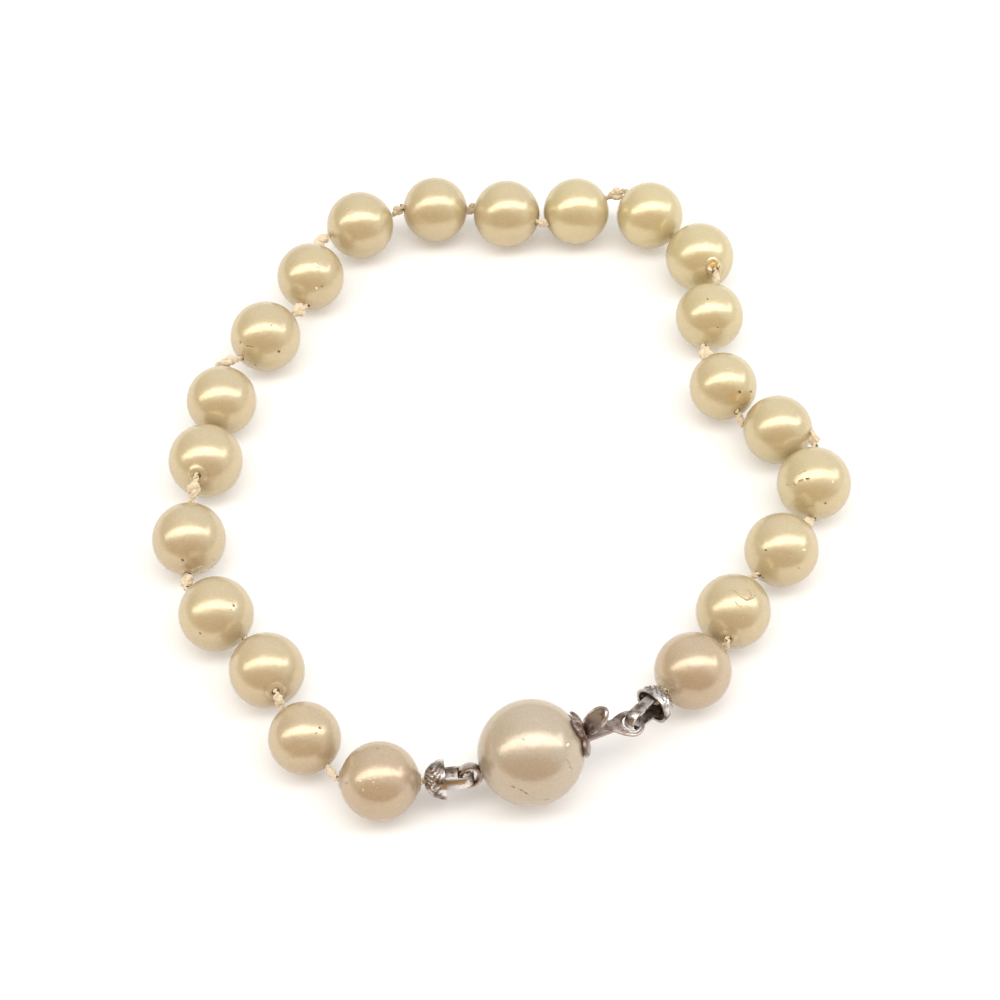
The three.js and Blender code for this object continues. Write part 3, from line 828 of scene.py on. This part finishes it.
def twisted_points(line, phase, offset, turns_per_length):
    """The path of one ply that winds round a line of points."""
    winding = []
    travelled = 0.0
    last = len(line) - 1
    for index, place in enumerate(line):
        along = (line[min(index + 1, last)] - line[max(index - 1, 0)]).normalized()
        side = side - along * side.dot(along) if index else along.orthogonal()
        side.normalize()
        other = along.cross(side)
        if index:
            travelled += (place - line[index - 1]).length
        angle = phase + travelled * turns_per_length * 2 * math.pi
        winding.append(place + (side * math.cos(angle) + other * math.sin(angle)) * offset)
    return [tuple(place) for place in winding]


def straight(start, end, step):
    count = max(2, math.ceil((end - start).length / step))
    return [start.lerp(end, index / count) for index in range(count + 1)]


def thread_run(name, start, end):
    """A straight run of two-ply silk."""
    line = straight(start, end, THREAD_STEP)
    plies = []
    for ply in (0, 1):
        path = twisted_points(line, ply * math.pi, PLY_OFFSET, 1 / TWIST_LENGTH)
        plies.append(swept(f"{name}_{ply}", path, PLY_RADIUS, sides=1))
    return joined(name, *plies)


def tight_knot():
    """An overhand knot pulled tight in two-ply silk: about 1 from its middle to its side, thread along X."""
    line = []
    for step in range(KNOT_STEPS):
        angle = 2 * math.pi * step / KNOT_STEPS
        across = math.sin(angle) + 2 * math.sin(2 * angle)
        along = math.cos(angle) - 2 * math.cos(2 * angle)
        line.append(Vector((along, across, -1.15 * math.sin(3 * angle))) * KNOT_SCALE)
    plies = []
    for ply in (0, 1):
        path = twisted_points(line, ply * math.pi, KNOT_PLY_OFFSET, KNOT_PLY_TURNS)
        plies.append(swept(f"knot_ply_{ply}", path, KNOT_PLY_RADIUS, closed=True, sides=1))
    knot = joined("tight_knot", *plies)
    tidy(knot)
    return knot


def knot_room(start, end, pearl, next_pearl):
    """The middle and size of the knot that fits between two drill holes."""
    middle = (start + end) / 2
    room = min(
        (middle - PEARL_CENTRES[pearl]).length - PEARL_BALLS[pearl][1],
        (middle - PEARL_CENTRES[next_pearl]).length - PEARL_BALLS[next_pearl][1],
    )
    radius = min(max(room, SMALL_KNOT_RADIUS), KNOT_RADIUS)
    if pearl in TUCKED_KNOTS:
        radius = TUCKED_KNOT_RADIUS
    return middle, radius, min(radius * 1.15, (end - start).length / 2 + MOUTH_GAP)


def make_silk():
    knot = tight_knot()
    runs = []
    for index, (centre, corner) in enumerate(PEARL_BALLS):
        axis = PEARL_AXES[index]
        runs.append((centre + axis * (corner + MOUTH_GAP), centre + axis * corner * 0.8))
        runs.append((centre - axis * (corner + MOUTH_GAP), centre - axis * corner * 0.8))
    exits = [runs[2 * index][0] for index in range(PEARL_COUNT)]
    entries = [runs[2 * index + 1][0] for index in range(PEARL_COUNT)]
    parts = [thread_run(f"run_{index}", inner, outer) for index, (outer, inner) in enumerate(runs)]
    placed = []
    for index in range(PEARL_COUNT - 1):
        middle, radius, length = knot_room(exits[index], entries[index + 1], index, index + 1)
        placed.append((middle, entries[index + 1] - exits[index], radius, length))
        parts.append(thread_run(f"gap_{index}", exits[index], middle))
        parts.append(thread_run(f"onward_{index}", middle, entries[index + 1]))
    for cup, mouth in ((LEFT_CUP, entries[0]), (RIGHT_CUP, exits[-1])):
        crown = cup @ Vector((-MOUTH_GAP, 0, 0))
        inside = cup @ Vector((CUP_KNOT_DEPTH, 0, 0))
        parts.append(thread_run("cup_gap", mouth, crown))
        parts.append(thread_run("cup_run", crown, inside))
        placed.append((inside, inside - crown, CUP_KNOT_RADIUS, CUP_KNOT_RADIUS))
    for index, (middle, line, radius, length) in enumerate(placed):
        one = copy_of(knot, f"knot_{index}")
        towards = line.to_track_quat("X", "Z").to_matrix().to_4x4()
        rolled = Matrix.Rotation(index * KNOT_ROLL, 4, "X")
        size = Matrix.Diagonal((length * 1.05, radius, radius, 1))
        one.data.transform(Matrix.Translation(middle) @ towards @ size @ rolled)
        parts.append(one)
    bpy.data.objects.remove(knot)
    silk = joined("silk", *parts)
    tidy(silk)
    smooth(silk, 60)
    finish_piece(silk, "root", "silk", SILK, "silk_thread")


# ------------------------------------------------------------------ bead cups
CUP_RADIUS = 1.85
CUP_DEPTH = 1.95
CUP_WALL = 0.30
CUP_HOLE_RADIUS = 0.40
LOOP_HALF_HEIGHT = 1.2
LEFT_REACH = 4.38
RIGHT_REACH = 4.9
STRAP_THICKNESS = 0.3
STRAP_WIDTH = 1.0
LEG_STEP = 1.4
FLUTES = 14


def cup_shell():
    """An engraved hollow dome, crown at the origin and mouth towards +X."""
    bpy.ops.mesh.primitive_uv_sphere_add(segments=84, ring_count=60, radius=1)
    shell = newest("cup_shell")
    shell.data.transform(Matrix.Rotation(-math.pi / 2, 4, "Y"))
    editing(shell, "FACE")
    bpy.ops.mesh.select_all(action="SELECT")
    bpy.ops.mesh.bisect(plane_co=(0, 0, 0), plane_no=(1, 0, 0), clear_outer=True)
    done_editing()
    hole = CUP_HOLE_RADIUS / CUP_RADIUS
    pick(shell, "FACE", lambda face: math.hypot(face.center.y, face.center.z) < hole)
    editing(shell, "FACE")
    bpy.ops.mesh.delete(type="FACE")
    done_editing()
    places = corners(shell)
    polar = np.arctan2(np.hypot(places[:, 1], places[:, 2]), -places[:, 0])
    around = np.arctan2(places[:, 2], places[:, 1])
    field = np.clip((polar - 0.36) / 0.12, 0, 1) * np.clip((1.40 - polar) / 0.08, 0, 1)
    leaf = np.abs(np.sin(FLUTES / 2 * around + 2.1 * np.sin(polar * 5.2)))
    groove = np.exp(-((leaf / 0.42) ** 2))
    cross = np.exp(-((np.sin(polar * 13.0 + 0.8 * np.cos(FLUTES * around)) / 0.35) ** 2))
    carved = field * np.maximum(groove, 0.55 * cross)
    scale = 1 - 0.075 * carved
    size = np.array([CUP_DEPTH, CUP_RADIUS, CUP_RADIUS]) * MM
    put_corners(shell, places * scale[:, None] * size + np.array([CUP_DEPTH * MM, 0, 0]))
    paint(shell, "carved", carved)
    tidy(shell)
    modify(shell, "SOLIDIFY", thickness=CUP_WALL * MM, offset=-1.0, use_rim=True)
    return shell


def cup_loop(reach):
    """The flat-band loop soldered in the cup: two legs and a round bend at the far end."""
    middle = LOOP_HALF_HEIGHT - STRAP_THICKNESS / 2
    bend = reach + STRAP_THICKNESS / 2 - LOOP_HALF_HEIGHT
    start = CUP_WALL + 0.35
    round_bend = arc(bend, 0, middle, -90, 90, 22)
    lower = [(start, -middle), (LEG_STEP, -middle)]
    line = [*lower, *round_bend, (LEG_STEP, middle), (start, middle)]
    return ribbon("cup_loop", line, STRAP_WIDTH, STRAP_THICKNESS, 0.07)


def make_cup(name, node, place, reach):
    shell = cup_shell()
    carved = np.zeros(len(shell.data.vertices))
    shell.data.attributes["carved"].data.foreach_get("value", carved)
    shell.data.attributes.remove(shell.data.attributes["carved"])
    places = corners(shell) / MM
    inner = np.array([CUP_DEPTH - CUP_WALL * 0.6, CUP_RADIUS - CUP_WALL * 0.6, CUP_RADIUS - CUP_WALL * 0.6])
    sheltered = (((places - [CUP_DEPTH, 0, 0]) / inner) ** 2).sum(1) < 1
    paint(shell, "cut", np.where(sheltered, 0.85, np.clip(carved * 0.9, 0, 0.9)))
    rim_radius = CUP_RADIUS - 0.13
    bpy.ops.mesh.primitive_torus_add(
        major_segments=72, minor_segments=12, major_radius=rim_radius * MM, minor_radius=0.125 * MM,
        rotation=(0, math.pi / 2, 0), location=((CUP_DEPTH - 0.13) * MM, 0, 0),
    )
    rim = newest("rim")
    bpy.ops.object.transform_apply()
    cut_share(rim, lambda x, y, z: 0.0)
    loop = cup_loop(reach)
    cut_share(loop, lambda x, y, z: 0.75 if x < 1.6 else 0.35 * (abs(z) < 0.3))
    cup = joined(name, shell, rim, loop)
    tidy(cup)
    smooth(cup, 38)
    cup.data.transform(place)
    return finish_piece(cup, "root", "silver_engraved", ENGRAVED_SILVER, node)


# ------------------------------------------------------------------ clasp metal, about X
BARREL_RADIUS = 1.5
BARREL_WALL = 0.26
BARREL_INNER_END = -3.0
CAP_SEAT_RADIUS = 4.95
PETAL_OFFSET = 1.35
PETAL_RADIUS = 1.0
PETAL_HEIGHT = 0.42
VEIN_DEPTH = 0.13
SLOT_WIDTH = 1.7
SLOT_HEIGHT = 2.0


def make_socket():
    """A domed cap of four veined petals with a dark slot, and the barrel soldered behind it."""
    parts = []
    for quarter in range(4):
        bpy.ops.mesh.primitive_uv_sphere_add(segments=40, ring_count=24, radius=PETAL_RADIUS * MM)
        petal = newest(f"petal_{quarter}")
        places = corners(petal)
        flat = PETAL_HEIGHT / PETAL_RADIUS
        places[:, 0] *= flat
        off_middle = np.abs(places[:, 2]) / MM
        vein = np.exp(-((off_middle / 0.10) ** 2)) + np.exp(-(((off_middle - 0.45) / 0.09) ** 2))
        places[:, 0] *= 1 - VEIN_DEPTH * vein
        put_corners(petal, places)
        lift = Matrix.Rotation(math.asin(PETAL_OFFSET / CAP_SEAT_RADIUS), 4, "Z")
        spread = Matrix.Rotation(quarter * math.pi / 2, 4, "X")
        petal.data.transform(spread @ lift @ Matrix.Translation((CAP_SEAT_RADIUS * MM, 0, 0)))
        parts.append(petal)
    cap = parts[0]
    hub = rod("hub", BARREL_RADIUS, 3.2, CAP_SEAT_RADIUS + 0.22, 48)
    bevelled(hub, 0.12 * MM, 3)
    for part in (*parts[1:], hub):
        add_on(cap, part)
    bpy.ops.mesh.primitive_uv_sphere_add(segments=96, ring_count=64, radius=CAP_SEAT_RADIUS * MM)
    cut_by(cap, newest("seat"))
    add_on(cap, rod("barrel", BARREL_RADIUS, BARREL_INNER_END, CAP_SEAT_RADIUS + 0.1, 44))
    bore_radius = BARREL_RADIUS - BARREL_WALL
    bore_end = BARREL_INNER_END + BARREL_WALL
    cut_by(cap, rod("bore", bore_radius, bore_end, CAP_SEAT_RADIUS - 0.3, 40))
    bpy.ops.mesh.primitive_cube_add(size=1, location=((CAP_SEAT_RADIUS + 1) * MM, 0, 0))
    slot = newest("slot")
    slot.data.transform(Matrix.Diagonal((4 * MM, SLOT_WIDTH * MM, SLOT_HEIGHT * MM, 1)))
    bevelled(slot, 0.18 * MM, 3)
    cut_by(cap, slot)
    tidy(cap)

    def sheltered(x, y, z):
        out = math.hypot(y, z)
        if out < SLOT_HEIGHT / 2 * 1.05 and x < CAP_SEAT_RADIUS + 0.25:
            return 1.0
        between = min(abs(y), abs(z)) > 0.5
        return 0.85 if between else 0.45

    cut_share(cap, sheltered)
    smooth(cap, 42)
    cap.name = cap.data.name = "clasp_socket_skin"
    cap.data.transform(CLASP)
    return finish_piece(cap, "root", "silver_worn", WORN_SILVER, "clasp_socket")


EYE_RING_CENTRE = -5.8
EYE_RING_OUTER = 1.12
EYE_RING_INNER = 0.7
EYE_RING_WIDTH = 0.9
PEG_RADIUS = 0.5
PEG_INNER_END = -3.6


def make_eye_ring():
    """The flat-band ring on the other side of the pearl, with the peg that is glued into it."""
    middle = (EYE_RING_OUTER + EYE_RING_INNER) / 2
    band = EYE_RING_OUTER - EYE_RING_INNER
    ring = ribbon("ring", arc(0, 0, middle, 0, 352.5, 47), EYE_RING_WIDTH, band, 0.09, closed=True)
    upright(ring)
    ring.data.transform(Matrix.Translation((EYE_RING_CENTRE * MM, 0, 0)))
    ring.data.transform(Matrix.Rotation(math.radians(EYE_RING_ROLL), 4, "X"))
    peg = rod("peg", PEG_RADIUS, EYE_RING_CENTRE + middle, PEG_INNER_END, 28)
    bevelled(peg, 0.05 * MM, 2)
    add_on(ring, peg)
    cut_share(ring, lambda x, y, z: 0.7 if x > EYE_RING_CENTRE + 0.7 else 0.4)
    smooth(ring, 40)
    ring.name = ring.data.name = "clasp_eye_ring_skin"
    ring.data.transform(CLASP)
    return finish_piece(ring, "root", "silver_worn", WORN_SILVER, "clasp_eye_ring")


TONGUE_WIDTH = 1.3
TONGUE_THICKNESS = 0.35
TONGUE_TOP = -0.5
FOLD_X = -2.55
TONGUE_BEND_X = 7.4
PLATE_BEND = 28
PLATE_REACH = 2.1
PLATE_RADIUS = 1.3
PLATE_EYE_RADIUS = 0.8


RAIL_START = 1.5
RAIL_RADIUS = 0.13
EDGE_RADIUS = 0.12


def rail(name, side):
    """A raised edge along the lower leaf, on the side given by its sign."""
    across = side * (TONGUE_WIDTH / 2 - 0.10)
    height = TONGUE_TOP - 0.03
    steps = np.linspace(RAIL_START, TONGUE_BEND_X, 9)
    return swept(name, [(x * MM, across * MM, height * MM) for x in steps], RAIL_RADIUS * MM)


def plate_ring(name, radius, height):
    """A round wire laid on the plate."""
    bpy.ops.mesh.primitive_torus_add(
        major_segments=64, minor_segments=10, major_radius=radius * MM,
        minor_radius=EDGE_RADIUS * MM, location=(0, 0, height * MM),
    )
    return newest(name)


def make_tongue():
    """The lower leaf with its two raised edges, the turned-up fold, and the plate with its eye."""
    middle = TONGUE_TOP - TONGUE_THICKNESS / 2
    fold = FOLD_X + 0.16
    line = [(fold, 0.0), (fold, middle + 0.12), (fold + 0.12, middle), (TONGUE_BEND_X, middle)]
    leaf = upright(ribbon("leaf", line, TONGUE_WIDTH, 0.32, 0.05))
    rails = [rail(f"rail_{side}", side) for side in (-1, 1)]
    bpy.ops.mesh.primitive_cylinder_add(vertices=64, radius=PLATE_RADIUS * MM, depth=0.26 * MM)
    plate = newest("plate")
    places = corners(plate)
    behind = places[:, 0] < 0
    reach = np.clip(-places[:, 0] / (PLATE_RADIUS * MM), 0, 1)
    narrow = 1 - 0.30 * reach ** 1.5
    places[:, 0] = np.where(behind, places[:, 0] * 1.62, places[:, 0])
    places[:, 1] = np.where(behind, places[:, 1] * narrow, places[:, 1])
    neck = behind & (np.abs(places[:, 1]) < TONGUE_WIDTH / 2 * MM)
    places[neck, 0] = np.minimum(places[neck, 0], -PLATE_REACH * 0.98 * MM)
    put_corners(plate, places)
    bpy.ops.mesh.primitive_cylinder_add(vertices=48, radius=PLATE_EYE_RADIUS * MM, depth=2 * MM)
    cut_by(plate, newest("eye"))
    bevelled(plate, 0.05 * MM, 2)
    lip = plate_ring("eye_lip", PLATE_EYE_RADIUS + 0.13, 0.05)
    border = plate_ring("plate_border", PLATE_RADIUS - 0.12, 0.02)
    cut_share(plate, lambda x, y, z: 0.65)
    cut_share(lip, lambda x, y, z: 0.0)
    cut_share(border, lambda x, y, z: 0.0)
    head = joined("head", plate, lip, border)
    bend = Matrix.Rotation(math.radians(PLATE_BEND), 4, "Y")
    reach = Matrix.Translation((PLATE_REACH * MM, 0, -TONGUE_THICKNESS / 2 * MM))
    head.data.transform(Matrix.Translation((TONGUE_BEND_X * MM, 0, TONGUE_TOP * MM)) @ bend @ reach)
    cut_share(leaf, lambda x, y, z: 0.9 if x < 5.2 else 0.6)
    for one in rails:
        cut_share(one, lambda x, y, z: 0.0 if y > 0 or x < 4.4 else 0.6)
    tongue = joined("clasp_tongue_skin", leaf, *rails, head)
    tidy(tongue)
    smooth(tongue, 40)
    tongue.data.transform(CLASP)
    return finish_piece(tongue, "root", "silver_worn", WORN_SILVER, "clasp_tongue")


LEVER_START_X = -2.1
LEVER_START_Z = -0.23
LEVER_END_X = 5.0
LEVER_SLOPE = 5
LEVER_WIDTH = 1.2
LEVER_THICKNESS = 0.3
TAB_RISE = 38
TAB_LENGTH = 3.5
TAB_WIDTH = 2.1
TAB_DEPTH = 0.28
RIM_INSET = 0.16
RIM_RADIUS = 0.145
RIM_HEIGHT = 0.07


def make_lever():
    """The sprung upper leaf, and the cupped oval thumb tab with its raised bright rim."""
    length = LEVER_END_X - LEVER_START_X
    climb = math.radians(LEVER_SLOPE)
    line = [(0, 0), (length / 2, 0), (length, 0)]
    leaf = upright(ribbon("spring_leaf", line, LEVER_WIDTH, LEVER_THICKNESS, 0.05))
    leaf.data.transform(Matrix.Rotation(-climb, 4, "Y"))
    leaf.data.transform(Matrix.Translation((LEVER_START_X * MM, 0, LEVER_START_Z * MM)))
    bpy.ops.mesh.primitive_cylinder_add(vertices=72, radius=1, depth=1, end_fill_type="NGON")
    tab = newest("thumb_tab")
    half_length = TAB_LENGTH / 2
    half_width = TAB_WIDTH / 2
    tab.data.transform(Matrix.Diagonal((half_length * MM, half_width * MM, TAB_DEPTH * MM, 1)))
    pick(tab, "FACE", lambda face: face.normal.z > 0.9)
    editing(tab, "FACE")
    bpy.ops.mesh.inset(thickness=0.17 * MM)
    bpy.ops.transform.translate(value=(0, 0, -0.02 * MM))
    for inset, drop in ((0.12, 0.06), (0.16, 0.05)):
        bpy.ops.mesh.inset(thickness=inset * MM)
        bpy.ops.transform.translate(value=(0, 0, -drop * MM * 0.35))
    done_editing()
    bevelled(tab, 0.045 * MM, 2, 40)
    long_reach = (half_length - RIM_INSET) * MM
    short_reach = (half_width - RIM_INSET) * MM
    rim_points = [
        (long_reach * math.cos(angle), short_reach * math.sin(angle), RIM_HEIGHT * MM)
        for angle in np.radians(np.arange(0, 360, 5))
    ]
    rim = swept("tab_rim", rim_points, RIM_RADIUS * MM, closed=True)
    cut_share(tab, lambda x, y, z: 0.50)
    cut_share(rim, lambda x, y, z: 0.0)
    cut_share(leaf, lambda x, y, z: 0.85)
    tab = joined("tab", tab, rim)
    end_height = LEVER_START_Z + length * math.sin(climb)
    rise = Matrix.Rotation(-math.radians(TAB_RISE), 4, "Y")
    at_end = Matrix.Translation((LEVER_END_X * MM, 0, end_height * MM))
    tab.data.transform(at_end @ rise @ Matrix.Translation((half_length * MM, 0, 0)))
    lever = joined("thumb_lever_skin", leaf, tab)
    tidy(lever)
    smooth(lever, 40)
    lever.data.transform(CLASP)
    return finish_piece(lever, "thumb_lever", "silver_worn", WORN_SILVER, "thumb_lever")


# ------------------------------------------------------------------ table, light and surroundings
STRIP_SIZE = (2.3, 0.19)
STRIP_PLACE = (-0.10, -0.05, 0.45)
STRIP_BELOW = (-0.10, -0.05, 0.0)
STRIP_WATTS = 4.9
STRIP_ROLL = math.radians(6)
WINDOW_SIZE = (0.36, 0.14)
WINDOW_PLACE = (1.02, 0.27, 0.50)
WINDOW_WATTS = 0.45
TABLE_GREY = 0.74
TABLE_GLOW = 0.24
# The room: pale to the right and above, dimmer to the left, warm and dark behind the viewer.
ROOM_LIGHT = (0.95, 0.95, 0.94)
ROOM_LEFT = (0.66, 0.60, 0.44)
ROOM_BEHIND_VIEWER = (0.54, 0.320, 0.135)
ROOM_STRENGTH = 0.86


def glow(name, size, place, aim, strength, colour=(1, 1, 1), roll=0.0):
    """A soft rectangular lamp that faces a point."""
    data = bpy.data.lights.new(name, "AREA")
    data.shape = "RECTANGLE"
    data.size, data.size_y = size
    data.energy = strength
    data.color = colour
    lamp = bpy.data.objects.new(name, data)
    bpy.context.scene.collection.objects.link(lamp)
    facing = (Vector(aim) - Vector(place)).to_track_quat("-Z", "Y").to_matrix().to_4x4()
    lamp.matrix_world = Matrix.Translation(place) @ facing @ Matrix.Rotation(roll, 4, "Z")


def make_stage():
    bpy.ops.mesh.primitive_plane_add(size=4, location=(0, 0, 0))
    floor = newest("table_top")
    recipe = Recipe("table_top")
    grey = (TABLE_GREY, TABLE_GREY, TABLE_GREY, 1)
    recipe.set(Base_Color=grey, Roughness=0.9, Specular_IOR_Level=0.1)
    recipe.set(Emission_Color=(1, 1, 1, 1), Emission_Strength=TABLE_GLOW)
    floor.data.materials.append(recipe.material)
    warm = (1.0, 0.985, 0.96)
    cool = (0.97, 0.99, 1.0)
    glow("ceiling_strip", STRIP_SIZE, STRIP_PLACE, STRIP_BELOW, STRIP_WATTS, warm, STRIP_ROLL)
    glow("window", WINDOW_SIZE, WINDOW_PLACE, (0, 0, 0), WINDOW_WATTS, cool)


def make_world():
    """Pale walls all round, dimmer to the left, with a darker, warmer room behind the viewer."""
    world = bpy.data.worlds.new("surroundings")
    bpy.context.scene.world = world
    world.use_nodes = True
    tree = world.node_tree
    room = Mixer(tree)
    parts = room.node("ShaderNodeSeparateXYZ")
    room.join(room.node("ShaderNodeTexCoord").outputs["Generated"], parts.inputs["Vector"])
    leftness = room.span(parts.outputs["X"], -0.15, -0.95)
    frontness = room.span(parts.outputs["Y"], -0.30, -0.62)
    sides = room.mix(leftness, ROOM_LIGHT, ROOM_LEFT)
    background = tree.nodes["Background"]
    room.join(room.mix(frontness, sides, ROOM_BEHIND_VIEWER), background.inputs["Color"])
    background.inputs["Strength"].default_value = ROOM_STRENGTH


def set_tones():
    view = bpy.context.scene.view_settings
    view.view_transform = "Standard"
    view.look = "None"
    view.exposure = 0.0


make_camera()
make_pearls()
make_clasp_pearl()
make_silk()
make_cup("bead_cup_left_skin", "bead_cup_left", LEFT_CUP, LEFT_REACH)
make_cup("bead_cup_right_skin", "bead_cup_right", RIGHT_CUP, RIGHT_REACH)
make_socket()
make_eye_ring()
make_tongue()
make_lever()
make_stage()
make_world()
set_tones()
